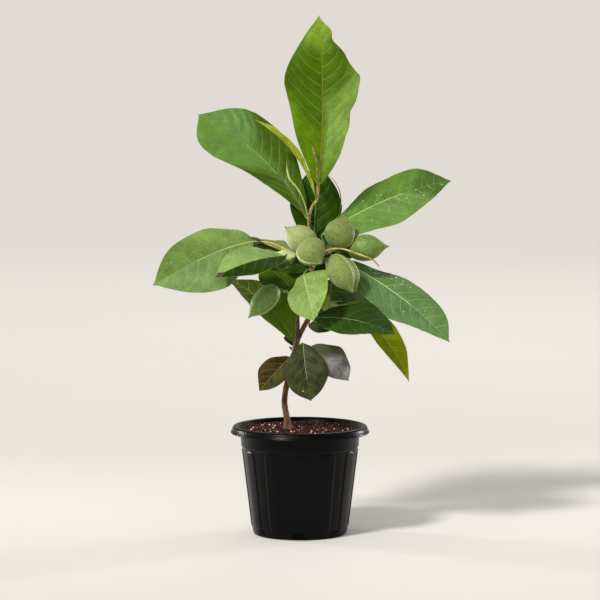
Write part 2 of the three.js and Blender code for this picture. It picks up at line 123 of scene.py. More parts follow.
# Routes of the limbs and of each mass's own stem, with their radius at both ends
STEMS = {
    "trunk": ([(-13.5, 0, SOIL_TOP - 4), (-16, 0, 140), (-18, 0, 152), (-17.5, 0, 164), (-14, 0, 184),
               (-8, 0, 205), (-3.5, 0, 226), (3.5, 0, 242), (9.5, 1, 254), (13, 4, 275), (13.5, 9, 303),
               (12, 14, 327)], TRUNK_RADIUS),
    "side_bough": ([(-3.5, -1, 226), (-3, -3, 243), (-2.5, -3, 257), (-4.5, -1, 272)], (2.3, 1.7)),
    "top_shoot": ([(12, 14, 327 + GAP), (10.5, 19, 345), (10.5, 17, 362), (11.5, 13, 375), (14.5, 9, 384),
                   (20, 6, 393), (21, 4, 404), (21.5, 3, 412)], (2.0, 1.5)),
    "right_leaves": ([(13, 12, 315), (23, 11, 325), (37, 9, 332)], (1.9, 1.4)),
    "left_leaves": ([(12.5, 13, 320), (1, 3, 327), (-9, -8, 331)], (1.8, 1.3)),
    "front_fruit": ([(13.5, 10, 308), (15, -5, 313), (18.5, -15, 319)], (1.8, 1.4)),
    "low_right_leaves": ([(13, 4, 275), (22, 5, 275), (33, 8, 271)], (1.8, 1.4)),
    "low_left_leaves": ([(-4.6, -1, 272.5), (-10.5, 3, 280), (-16.5, 4, 287)], (1.6, 1.2)),
    "back_leaves": ([(13.5, 8, 299), (14, 14, 304), (14, 20, 311)], (1.8, 1.4)),
    "front_sprig": ([(-6.5, 0, 213), (-4.5, -6, 217), (-2.5, -10, 221)], (1.7, 1.3)),
    "back_sprig": ([(-6.5, 0, 214), (-7, 6, 216), (-8, 10, 218)], (1.7, 1.3)),
}

LEAF_DETAIL = dict(lift=4, bow=0, bend=0.5, wave=1, fold=LEAF_FOLD, neck=NECK, bumps=(), zones=(), drops=(),
                   brown_tip=None, foot=None, stalk="stalk_green")


def leaf(at, petiole, blade, face, left, right, tint, **detail):
    """A leaf: its share of the stem, the ways to its blade's base and on to its tip, the way that it faces,
    the width and outline of each half, and a tint for both halves or one for each.

    lift and bow arch it, bend says where, wave ripples its margin, fold closes it, neck narrows its base and
    bumps swell its right margin. A zone lies between two shares along the blade and two across it, and has a
    tint. drops have a count and such shares. brown_tip is where it is scorched. foot and stalk are looks of
    its midrib's start and its petiole.
    """
    return SimpleNamespace(at=at, petiole=np.array(petiole, float), blade=np.array(blade, float),
                           face=np.array(face, float), left=left, right=right,
                           tints=(tint, tint) if isinstance(tint, str) else tint, **{**LEAF_DETAIL, **detail})


def small_leaf(at, petiole, blade, width, tint="deep", tilt=0, wave=0.8):
    half = (width, "round")
    return leaf(at, petiole, blade, (tilt, -1, 0.2), half, half, tint, lift=2, wave=wave)


# The leaves of each mass, as in the source, with their finer detail
LEAVES = {
    "top_shoot": [
        # Painted light: zone lime_low is painted glow, lime_painted_sheen painted sheen, lime_tip painted
        # light on the tip
        leaf(0.93, (0.5, -3, 1), (0, 21, 197), (0.05, -1, 0.1), (45, "obovate"), (43, "pointed"),
             ("lime", "lime_deep"), bow=4.5, wave=3, zones=((0, 0.3, -1, 0, "lime_low"),
             (0.06, 0.46, 0.12, 1, "lime_painted_sheen"), (0.8, 1, -1, 1, "lime_tip")), bumps=((0.91, 2.2),
             (0.85, -3.5), (0.77, 1.6), (0.62, 1.2), (0.437, -2.6), (0.34, 1.4))),
        leaf(0.34, (-4, 2, 4), (-127, 58, 117), (0.25, -0.9, 0.45), (41, "full"), (42, "blunt"),
             ("green", "green_deep"), lift=5, bow=13.5, wave=1.5, zones=((0, 0.3, -1, 0, "green_low"),
             (0, 0.54, 0.15, 1, "green_low")), foot="stalk_red"),
        leaf(0.7, (-3, -6, 9), (-69, 12, 84), (0.5, -0.5, 0.8), (8, "young"), (8, "young"), "young", lift=3,
             bow=15, wave=0.5, fold=36),
        leaf(0.06, (4, 12, 0), (6, 26, 98), (0.1, -1, 0.2), (31, "oval"), (32, "oval"), "deep", lift=2),
    ],
    "right_leaves": [
        # Painted sheen: the tint wet_painted_sheen of its lower half is paler and bluer
        leaf(0.75, (-4, 4, 22), (153, 49, 60), (0.05, -0.72, 0.7), (30, "spoon"), (40, "broad"),
             ("wet", "wet_painted_sheen"), lift=2, bow=-9, bend=0.55, wave=2, zones=((0.72, 1, -1, 1, "wet_tip"),),
             drops=((44, (0.36, 0.74), (-0.4, 0.6)), (10, (0.78, 0.93), (-0.6, 0.6)),
             (16, (0.1, 0.9), (-0.85, 0.85)))),
        leaf(0.9, (4, 13, -7), (135, -58, -94), (0.35, -0.78, 0.52), (28, "slim"), (38, "hooked"),
             ("bluish", "bluish_light"), lift=3, bow=-9, wave=1.5,
             drops=((34, (0.15, 0.42), (-0.85, -0.45)), (10, (0.4, 0.85), (-0.85, -0.2)),
             (18, (0.08, 0.85), (0.05, 0.85)))),
    ],
    "left_leaves": [
        # Painted sheen: the tint light of its lower half is paler and bluer than light_deep
        leaf(0.95, (-45, -11, 15), (-116, -48, -47), (-0.1, -1, 0.3), (45, "plump"), (32, "shouldered"),
             ("light", "light_deep"), bow=5, bend=0.35, wave=2, stalk="stalk_yellow", neck=0.9,
             zones=((0, 0.38, 0, 1, "light_up"),), drops=((10, (0.1, 0.8), (-0.8, 0.8)),)),
        # Painted shade on the near half, tint mid, and painted light on the lit far half, tint soft
        leaf(1.0, (-9, -16, -2), (-79, -54, -20), (0, -0.5, 1), (31, "plump"), (32, "oval"),
             ("mid", "soft"), lift=6, brown_tip=0.87),
        # Painted light: the tint meadow_painted_light lightens its front half, which lies in shade
        leaf(0.55, (-12, 8, 0), (-60, 78, 6), (0, -0.3, 1), (24, "oval"), (24, "oval"),
             ("meadow_painted_light", "meadow")),
        leaf(1.0, (5, -7, -2), (-33, -8, -2), (0.2, -1, 0.5), (18, "blunt"), (6, "round"), "pale", lift=3,
             zones=((0, 1, -1, -0.5, "shade"),)),
    ],
    "front_fruit": [
        leaf(0.5, (-11.5, -28, -5), (12, -41, -50), (-0.1, -0.85, 0.5), (27, "eared"), (25, "blunt"),
             "bright", lift=8, bow=-1, wave=1.5, neck=0, zones=((0, 0.6, -1, -0.9, "bright_edge"),),
             drops=((8, (0.08, 0.3), (-0.8, -0.2)), (14, (0.2, 0.85), (-0.7, 0.8)))),
    ],
    "low_right_leaves": [
        leaf(0.5, (-5, -22, -19), (92, -66, -12), (0.1, -0.62, 0.78), (33, "oval"), (33, "oval"),
             ("dark", "dark_green"), lift=6, bow=-3, brown_tip=0.95),
        leaf(1.0, (28, 8, -1), (67, -2, -92), (0.3, -1, 0.2), (19, "oval"), (12, "oval"),
             ("yellow", "yellow_deep"), bow=-6),
        leaf(0.9, (-7, 6, 12), (64, 44, -8), (0, -0.9, 0.4), (26, "round"), (24, "round"), "shade"),
        leaf(0.35, (-9, -13, -29), (30, -20, -2), (0.1, -0.8, 0.5), (14, "round"), (10, "round"), "umber",
             lift=2, wave=0.5),
        leaf(0.35, (9, -8, -13), (5, -4, 20), (0.3, -1, 0.2), (5, "oval"), (4, "oval"), "bract", lift=2,
             wave=0.5),
    ],
    "low_left_leaves": [
        leaf(0.6, (5, 7, 3), (-36, 52, 26), (0, -0.7, 0.7), (26, "oval"), (26, "eared"), "olive"),
    ],
    "back_leaves": [],
    "front_sprig": [
        leaf(1.0, (6, -3, 5), (9, -15, -66), (0, -1, 0.25), (26, "plump"), (26, "plump"), "bronze", lift=5,
             bow=1, wave=1.2, drops=((3, (0.72, 0.78), (0.3, 0.42)), (6, (0.2, 0.8), (-0.7, 0.7)))),
        leaf(0.55, (-7, -3, -8), (-36, -7, -39), (-0.2, -1, 0.3), (15, "round"), (19, "round"),
             ("rust_green", "rust"), lift=3),
        # Painted sheen: its tint silver is grey, with a strong mottle that breaks it into streaks
        leaf(0.8, (13, 1, 0), (47, -3, -38), (0.2, -0.9, 0.5), (21, "round"), (19, "round"), "silver",
             bow=-3, zones=((0, 0.34, -1, 1, "silver_dark"),)),
    ],
    "back_sprig": [
        # Painted light: its tint moss is brightened because the leaf lies in shade under the crown
        leaf(0.6, (0, 2, 9), (-80, 75, 67), (0.35, -0.8, 0.6), (20, "oval"), (33, "oval"), "moss", bow=9,
             zones=((0.5, 1, -1, 1, "moss_dark"),)),
        leaf(1.0, (2, 3, 1), (-6, 21, 14), (0, -0.5, 1), (10, "round"), (10, "round"), "umber", lift=2,
             wave=0.5),
    ],
}

# Leaves that fill the back of the crown, grown by one rule: their share of the stem, degrees from straight
# back and above level, length, and how far the upper side looks back
BACK_LEAVES = {
    "top_shoot": [(0.95, 0, 71, 104, -1), (0.3, 8, 5, 124)],
    "right_leaves": [(0.45, 46, 18, 132)],
    "left_leaves": [(0.3, -60, 7, 124)],
    "low_right_leaves": [(1.0, 72, -12, 112), (0.5, 36, -22, 112)],
    "low_left_leaves": [(0.8, 30, -16, 104)],
    "back_leaves": [(0.9, 24, 17, 140), (0.9, -32, 4, 140), (0.5, -2, -14, 135)],
    "back_sprig": [(0.8, 15, -16, 62)],
}

# Small leaves inside the crown, too small for the source
SMALL_LEAVES = {
    "back_leaves": [small_leaf(0.95, (-3, 3, 1), (-36, 3, 8), 12),
                    small_leaf(0.95, (3, 3, 2), (27, 2, 9), 11),
                    small_leaf(0.7, (-3, 5, 12), (9, 4, -29), 12)],
    "right_leaves": [small_leaf(1.0, (-2, 16, -2), (33, 6, -3), 9, "dark_green")],
    "low_right_leaves": [small_leaf(0.5, (4, 3, -3), (4, 2, -23), 8, "umber", 0.1, 0.5)],
}

# Fruit: its share of the stem, the ways to its base and on to its point, its width, the way that its keel
# faces and its look, and a paler, broader seam where it has one: pale of its own, and paler still as a
# painted highlight along the rim
FRUIT = {
    "left_leaves": [(0.35, (13, -5, 10), (-35, -12, 27), 32, (-1, -0.2, -0.6), "fruit_pale")],
    "front_fruit": [
        (1.0, (-15, -11, 26), (22, -16, -24), 35, (-0.79, -0.42, -0.445), "fruit_mid", "seam_pale", 0.07),
        (0.8, (19, -11, 13), (26, -14, -43), 31, (0.9, -0.7, 0), "fruit_mid"),
        (0.9, (29, -4, 8), (19, -8, -40), 27, (1, -0.5, 0.2), "fruit_green"),
    ],
    "right_leaves": [
        (0.6, (14.5, -17, 10.5), (15, 4, 38), 36, (0.86, -0.42, -0.29), "fruit_dusk", "seam_pale", 0.05),
        (1.0, (18, -10, 3), (49, -6, 4), 31, (0, -0.5, -1), "fruit_green"),
    ],
    "low_left_leaves": [(0.4, (-17, -24, 15), (-34, -14, -36), 27, (0.75, -0.45, -0.5), "fruit_green")],
}

# Bare twigs and furled buds: the share of the stem, where it bends, measured from there, its radius at both
# ends and its look, the share where it turns dark, and whether it is furled
TWIGS = {
    "low_right_leaves": [(0.95, [(3, -2, 8), (4, -3, 18), (4, -2, 27)], (1.6, 1.2), "twig_dark")],
    "left_leaves": [
        (1.0, [(-20, -13, 8), (-36, -17, 14), (-46, -19, 18), (-52, -19, 21)], (1.4, 0.7), "twig_tan",
         0.62),
    ],
    "right_leaves": [
        (0.6, [(8, -16, 8), (22, -25, 10), (37, -31, 6), (58, -32, -2), (67, -31, -11)], (1.6, 1.1),
         "twig_tan", 0.84),
        (0.6, [(16, 8, 30), (22, 12, 58), (21, 13, 74), (15, 12, 86), (7, 11, 94)], (0.8, 0.5),
         "twig_dark"),
    ],
    "top_shoot": [
        (0.33, [(-6, -15, 24), (-14, -17, 40), (-23, -16, 51), (-27, -12, 70)], (1.5, 0.8), "twig_pale", 1,
         True),
        (0.9, [(-1, -8, 15), (-2, -10, 28), (-5, -11, 42), (-8, -11, 51)], (1.5, 0.7), "twig_rose", 1,
         True),
    ],
}

# Colours of leaves by tint, as red, green and blue from 0 to 255: blade, midrib, side veins and margin
LEAF_TINTS = {
    "lime": ((67, 99, 0), (136, 118, 44), (106, 138, 30), (112, 92, 40)),
    "green": ((93, 131, 52), (136, 164, 72), (100, 134, 54), (104, 116, 46)),
    "green_deep": ((84, 120, 50), (136, 164, 72), (104, 138, 60), (92, 104, 40)),
    "young": ((154, 168, 38), (196, 200, 96), (180, 190, 76), (140, 130, 50)),
    "deep": ((42, 72, 4), (104, 152, 76), (70, 104, 34), (56, 92, 30)),
    "wet": ((93, 129, 46), (190, 218, 140), (112, 148, 70), (116, 152, 44)),
    "bluish": ((91, 124, 66), (202, 222, 156), (136, 170, 104), (90, 116, 48)),
    "bluish_light": ((88, 121, 69), (202, 222, 156), (132, 165, 104), (106, 140, 52)),
    # light: painted sheen, paler and bluer than light_deep, for a lower half
    "light": ((108, 138, 77), (196, 210, 118), (130, 164, 96), (136, 164, 66)),
    "light_deep": ((102, 130, 58), (196, 210, 118), (126, 158, 80), (118, 148, 50)),
    # mid: painted shade, a dark copy for the near half of a folded leaf that hangs in shade
    "mid": ((33, 55, 0), (128, 150, 60), (76, 104, 24), (108, 128, 50)),
    "shade": ((70, 92, 22), (96, 128, 52), (96, 120, 40), (72, 96, 30)),
    "pale": ((200, 214, 150), (214, 220, 168), (206, 216, 158), (188, 196, 130)),
    # wet_painted_sheen: painted sheen, paler and bluer than wet, for a lower half
    "wet_painted_sheen": ((103, 137, 60), (190, 218, 140), (128, 162, 86), (116, 152, 44)),
    # soft: painted light, a light copy for the lit far half of that folded leaf
    "soft": ((130, 162, 86), (150, 176, 96), (152, 180, 110), (140, 164, 84)),
    "bright": ((126, 154, 76), (220, 238, 160), (170, 198, 116), (160, 190, 84)),
    "dark": ((38, 60, 14), (128, 156, 92), (66, 94, 44), (58, 66, 32)),
    "dark_green": ((42, 72, 14), (128, 156, 92), (70, 106, 36), (66, 84, 32)),
    "yellow": ((144, 160, 4), (186, 186, 80), (160, 172, 40), (186, 194, 112)),
    "bronze": ((54, 60, 28), (134, 150, 112), (96, 94, 62), (62, 44, 32)),
    "olive": ((64, 86, 18), (118, 136, 52), (72, 88, 24), (92, 100, 38)),
    "rust": ((58, 48, 12), (118, 120, 64), (104, 92, 44), (66, 40, 26)),
    "rust_green": ((54, 56, 16), (118, 120, 64), (104, 112, 60), (66, 42, 26)),
    "umber": ((58, 72, 24), (110, 116, 52), (84, 94, 40), (74, 54, 32)),
    "bract": ((112, 130, 50), (150, 158, 84), (128, 142, 64), (172, 176, 112)),
    # silver: grey as painted sheen on a green leaf
    "silver": ((136, 132, 132), (140, 140, 132), (86, 82, 80), (66, 52, 50)),
    "meadow": ((106, 132, 44), (150, 164, 70), (112, 134, 50), (150, 166, 70)),
    "lime_deep": ((72, 103, 0), (136, 118, 44), (104, 138, 30), (128, 104, 48)),
    "yellow_deep": ((124, 140, 0), (186, 186, 80), (160, 172, 40), (186, 194, 112)),
    # moss: brightened as painted light, for a leaf that lies in shade
    "moss": ((108, 138, 36), (150, 164, 80), (126, 152, 60), (120, 130, 60)),
    # meadow_painted_light: painted light, a lighter copy of meadow for a half that lies in shade
    "meadow_painted_light": ((146, 172, 84), (170, 184, 100), (156, 178, 94), (150, 166, 70)),
    "back": ((64, 98, 26), (156, 180, 90), (98, 140, 52), (104, 122, 48)),
}
# The blade alone, for tints that only zones have
ZONE_TINTS = {
    # lime_low is painted glow through the blade, lime_painted_sheen painted sheen, lime_tip painted light on
    # a tip
    "silver_dark": (84, 90, 60), "lime_low": (84, 119, 0), "lime_painted_sheen": (116, 149, 60),
    "lime_tip": (117, 149, 32), "green_low": (62, 86, 14), "bright_edge": (148, 168, 40),
    "wet_tip": (68, 96, 36), "light_up": (120, 151, 74), "moss_dark": (62, 74, 14),
}
# Roughness and specular level, with the tints that differ from other leaves
GLOSS = (0.42, 0.2)
GLOSS_OF = {
    (0.36, 0.5): "silver", (0.5, 0.12): "bronze", (0.5, 0.05): "deep", (0.6, 0.2): "pale", (0.5, 0.04): "mid",
    (0.45, 0.14): "dark dark_green", (0.5, 0.08): "lime lime_low lime_deep green_low moss",
    (0.5, 0.06): "rust rust_green yellow yellow_deep olive", (0.4, 0.16): "wet", (0.4, 0.12): "wet_tip",
}
LEAF_GLOSS = {tint: gloss for gloss, tints in GLOSS_OF.items() for tint in tints.split()}
# How strongly a blade is mottled
PLAIN_MOTTLE = 0.075
# silver's strong mottle breaks its painted sheen into streaks
LEAF_MOTTLE = {"silver": 0.2, "rust": 0.22, "rust_green": 0.22, "bronze": 0.16}
# How many steps a zone's tint comes in by, and over how much of the blade, along and across it
BLEND_STEPS = 5
SOFT = (0.14, 0.3)

# Other colours, two tones each
PLANT_TINTS = {
    "bark": ((128, 87, 59), (56, 34, 22), 0.75),
    "twig_brown": ((196, 166, 104), (140, 108, 62), 0.65),
    "twig_tan": ((214, 192, 130), (172, 140, 84), 0.65),
    "twig_dark": ((112, 78, 52), (84, 56, 40), 0.65),
    "twig_pale": ((186, 192, 122), (160, 172, 98), 0.55),
    "twig_rose": ((176, 136, 88), (128, 96, 58), 0.55),
    "stalk_green": ((112, 142, 62), (92, 122, 46), 0.55),
    "stalk_yellow": ((222, 206, 122), (200, 184, 96), 0.55),
    "stalk_red": ((122, 74, 44), (100, 60, 36), 0.55),
    "fruit_pale": ((166, 178, 114), (144, 158, 92), 0.6),
    "fruit_mid": ((139, 154, 83), (116, 132, 62), 0.58),
    "fruit_dusk": ((126, 141, 72), (102, 118, 52), 0.58),
    "fruit_green": ((119, 149, 72), (92, 121, 50), 0.42),
    "keel": ((184, 196, 130), (168, 182, 110), 0.6),
    # seam_pale: a pale seam, made paler still as a painted highlight along a fruit's rim
    "seam_pale": ((218, 226, 172), (204, 214, 152), 0.6),
    "scorched": ((96, 74, 50), (66, 48, 34), 0.7),
    "beak": ((112, 92, 58), (88, 68, 44), 0.6),
}

# How much soft down each fruit has
DOWN = {"fruit_pale": 0.24, "fruit_mid": 0.22, "fruit_dusk": 0.2, "keel": 0.2}
PLAIN_DOWN = 0.06

# Helpers


def hash01(seed):
    """A number from 0 to 1 that depends on its seed alone."""
    return math.sin(seed * 12.9898) * 43758.5453 % 1


def unit(vectors):
    vectors = np.asarray(vectors, float)
    return vectors / np.linalg.norm(vectors, axis=-1, keepdims=True)


def ramp(value, low, high):
    """0 below low, 1 above high, and smooth between them."""
    x = np.clip((value - low) / (high - low), 0, 1)
    return x * x * (3 - 2 * x)


def bell(value, middle, width):
    """1 at the middle, and falling off smoothly on both sides."""
    return np.exp(-((value - middle) / width) ** 2)


def circle(count):
    """Angles evenly round a circle."""
    return np.linspace(0, 2 * np.pi, count, endpoint=False)


def curve_point(route, share):
    """The point at a share, from 0 to 1, of the smooth curve through a route's points."""
    points = np.asarray(route, float)
    points = np.vstack([2 * points[0] - points[1], points, 2 * points[-1] - points[-2]])
    place = np.asarray(share, float) * (len(points) - 3)
    i = np.minimum(place.astype(int), len(points) - 4)
    w = (place - i)[..., None]
    a, b, c, d = (points[i + k] for k in range(4))
    return 0.5 * (2 * b + (c - a) * w + (2 * a - 5 * b + 4 * c - d) * w ** 2
                  + (3 * b - a - 3 * c + d) * w ** 3)


def even_points(route, steps):
    """Points spread evenly along the curve through a route, and each one's share of the way."""
    dense = curve_point(route, np.linspace(0, 1, 40 * len(route)))
    run = np.concatenate([[0], np.cumsum(np.linalg.norm(np.diff(dense, axis=0), axis=1))])
    shares = np.linspace(0, 1, steps + 1)
    return np.stack([np.interp(run[-1] * shares, run, dense[:, k]) for k in range(3)], axis=1), shares


def lumps(points, size, octaves=3):
    """Smooth noise of about -1 to 1 at points in millimetres, with lumps of a given size."""
    values = [noise.fractal(Vector(p), 1.0, 2.0, octaves) for p in points.reshape(-1, 3) / size]
    return np.array(values).reshape(points.shape[:-1])


def placed(name, data):
    """A new object in the scene."""
    made = bpy.data.objects.new(name, data)
    bpy.context.scene.collection.objects.link(made)
    return made


class Shape:
    """Collects closed grids of points, in millimetres, into one mesh object."""

    def __init__(self):
        self.points = []
        self.faces = []
        self.slots = []
        self.looks = []
        self.count = 0

    def slot_of(self, look):
        if look not in self.looks:
            self.looks.append(look)
        return self.looks.index(look)

    def grid(self, points, slots):
        """A grid whose columns go round and whose first and last rows are closed, with a look's name or the
        slots of its faces."""
        if isinstance(slots, str):
            slots = self.slot_of(slots)
        rows, columns = points.shape[:2]
        index = self.count + np.arange(rows * columns).reshape(rows, columns)
        following = np.roll(index, -1, axis=1)
        quads = np.stack([index[:-1], following[:-1], following[1:], index[1:]], axis=-1).reshape(-1, 4)
        slots = np.broadcast_to(slots, (rows - 1, columns)).reshape(-1)
        self.points.append(points.reshape(-1, 3))
        self.faces += quads.tolist() + [index[0, ::-1].tolist(), index[-1].tolist()]
        self.slots += slots.tolist() + [int(slots[0])] * 2
        self.count += rows * columns

    def mesh(self, name):
        mesh = bpy.data.meshes.new(name)
        mesh.from_pydata((np.vstack(self.points) * MM).tolist(), [], self.faces)
        return mesh

    def build(self, name, slot=None, sharp=None):
        mesh = self.mesh(name)
        for look in self.looks:
            mesh.materials.append(looks[look])
        mesh.polygons.foreach_set("material_index", self.slots)
        mesh.polygons.foreach_set("use_smooth", [True] * len(self.faces))
        mesh.update()
        if sharp:
            mesh.set_sharp_from_angle(angle=math.radians(sharp))
        made = placed(name, mesh)
        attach(made, "root")
        return made


def tube(shape, centres, radii, slot, sides=12, relief=None, lowest=-math.inf):
    """A closed round limb along a line of points, with relief(around) added to its radii."""
    along = unit(np.gradient(centres, axis=0))
    across = [unit(np.cross(along[0], (0.3, 1, 0.2)))]
    for way in along[1:]:
        across.append(unit(across[-1] - across[-1].dot(way) * way))
    across = np.array(across)[:, None]
    up = np.cross(along, across[:, 0])[:, None]
    around = circle(sides)
    reach = radii[:, None] + (relief(around) if relief else 0 * around)
    points = (centres[:, None] + (reach * np.cos(around))[..., None] * across
              + (reach * np.sin(around))[..., None] * up)
    points[..., 2] = np.maximum(points[..., 2], lowest)
    shape.grid(points, slot)


def dome(shares, radii):
    """Radii along a limb, with its far end rounded off."""
    return radii * np.sqrt(1 - np.clip((shares - 0.97) / 0.03, 0, 0.98) ** 2)


# Materials, by name

looks = {}


def linear(colour):
    return tuple(((c / 255 + 0.055) / 1.055) ** 2.4 for c in colour) + (1,)


def mixed(colour, other, share):
    return tuple(a + (b - a) * share for a, b in zip(colour, other))


def shaded(colour, factor):
    return tuple(min(255, c * factor) for c in colour)


SOCKETS = {"shine": "Specular IOR Level", "down": "Sheen Weight", "down_tint": "Sheen Tint",
           "clear": "Transmission Weight", "ior": "IOR"}


def material(name, light, dark, roughness, patch=70, grain=900, grain_depth=0.0001, net=0, net_depth=0.0002,
             stretch=(1, 1, 1), **sockets):
    """Two tones in soft patches, a fine grain, and a net of raised veins where net gives its scale."""
    looks[name] = bpy.data.materials.new(name)
    looks[name].use_nodes = True
    tree = looks[name].node_tree

    def fill(node, inputs):
        for key, value in inputs.items():
            if isinstance(value, bpy.types.NodeSocket):
                tree.links.new(value, node.inputs[key])
            else:
                node.inputs[key].default_value = value

    def add(kind, output, inputs, **facts):
        """The output of a new node, with values or other nodes' outputs for its inputs."""
        node = tree.nodes.new("ShaderNode" + kind)
        for fact, value in facts.items():
            setattr(node, fact, value)
        fill(node, inputs)
        return node.outputs[output]

    place = add("Mapping", "Vector", {"Vector": add("TexCoord", "Object", {}), "Scale": stretch})
    colour = add("ValToRGB", "Color", {
        "Fac": add("TexNoise", "Fac", {"Vector": place, "Scale": patch, "Detail": 4})})
    for stop, position, tone in zip(colour.node.color_ramp.elements, (0.36, 0.64), (dark, light)):
        stop.position = position
        stop.color = linear(tone)
    fine = add("TexNoise", "Fac", {"Vector": place, "Scale": grain, "Detail": 3})
    normal = add("Bump", "Normal", {"Height": fine, "Distance": grain_depth})
    if net:
        cells = add("TexVoronoi", "Distance", {"Vector": place, "Scale": net}, feature="DISTANCE_TO_EDGE")
        normal = add("Bump", "Normal", {"Height": cells, "Normal": normal, "Distance": net_depth,
                                        "Strength": 0.6})
        threads = add("MapRange", "Result", {"Value": cells, "From Max": 0.3, "To Min": 1.16, "To Max": 0.88})
        colour = add("VectorMath", "Vector", {0: colour, "Scale": threads}, operation="SCALE")
    fill(tree.nodes["Principled BSDF"], {"Base Color": colour, "Normal": normal, "Roughness": roughness,
                                         **{SOCKETS[key]: value for key, value in sockets.items()}})


BLADES = {**{tint: tones[0] for tint, tones in LEAF_TINTS.items()}, **ZONE_TINTS}


def upper_look(tint, other=None, step=0):
    """The name of a blade's upper side, at a step of the way from one tint to another."""
    name = "leaf_" + {0: tint, BLEND_STEPS: other}.get(step, f"{tint}_{other}_{step}")
    if name not in looks:
        share = step / BLEND_STEPS
        other = other or tint
        blade = mixed(BLADES[tint], BLADES[other], share)
        gloss, shine = mixed(LEAF_GLOSS.get(tint, GLOSS), LEAF_GLOSS.get(other, GLOSS), share)
        mottle = PLAIN_MOTTLE if step else LEAF_MOTTLE.get(tint, PLAIN_MOTTLE)
        material(name, shaded(blade, 1 + mottle), shaded(blade, 1 - 1.2 * mottle), gloss, net=330,
                 patch=45 if mottle == PLAIN_MOTTLE else 90, net_depth=0.00028, shine=shine)
    return name


for tint, (blade, *tones) in LEAF_TINTS.items():
    upper_look(tint)
    under = mixed(blade, (140, 160, 90), 0.36)
    material(f"under_{tint}", shaded(under, 1.04), shaded(under, 0.94), 0.75, net=330, net_depth=0.0003,
             shine=0.1)
    for part, tone, dim in zip(("midrib", "veins", "margin"), tones, (0.9, 0.94, 0.85)):
        material(f"{part}_{tint}", tone, shaded(tone, dim), 0.5)
for name, (light, dark, roughness) in PLANT_TINTS.items():
    material(name, light, dark, roughness, patch=420 if "fruit" in name else 160, grain=1600,
             grain_depth=0.00012, stretch=(1, 1, 0.3) if name == "bark" else (1, 1, 1), shine=0.3,
             down=DOWN.get(name, PLAIN_DOWN), down_tint=(0.8, 0.9, 0.55, 1))

# The plant


def taper(radius, shares):
    return radius[0] + (radius[1] - radius[0]) * shares


def back_leaf(seed, at, turn, rise, length, lean=0.25):
    """One leaf of the back, with its width and tilt varied by its seed."""
    turn = math.radians(turn)
    rise = math.radians(rise)
    level = math.cos(rise)
    blade = length * np.array([math.sin(turn) * level, math.cos(turn) * level, math.sin(rise)])
    width = length * BACK_WIDTH_SHARE * (0.94 + 0.12 * hash01(seed))
    face = (0.3 * (hash01(seed + 1) - 0.5), lean, 1)
    return leaf(at, blade * BACK_PETIOLE_SHARE, blade, face, (width, "oval"), (width, "obovate"), "back",
                lift=length * BACK_ARCH_SHARE, wave=2)


def outline(t, shape):
    """Half-width of a blade as a share of its greatest, with the drawn-out tip that the source leaves out."""
    widest, rise, fall = HALF_SHAPES[shape]
    y = np.clip(t / widest, 0, 1)
    x = np.clip((t - widest) / (1 - widest), 0, 1)
    inner = y ** rise * (1 + 0.25 * y ** 3 * (1 - y))
    outer = (1 - x ** fall) * (1 - 0.72 * np.exp((x - 1) / 0.075))
    return np.where(t > widest, outer, inner)


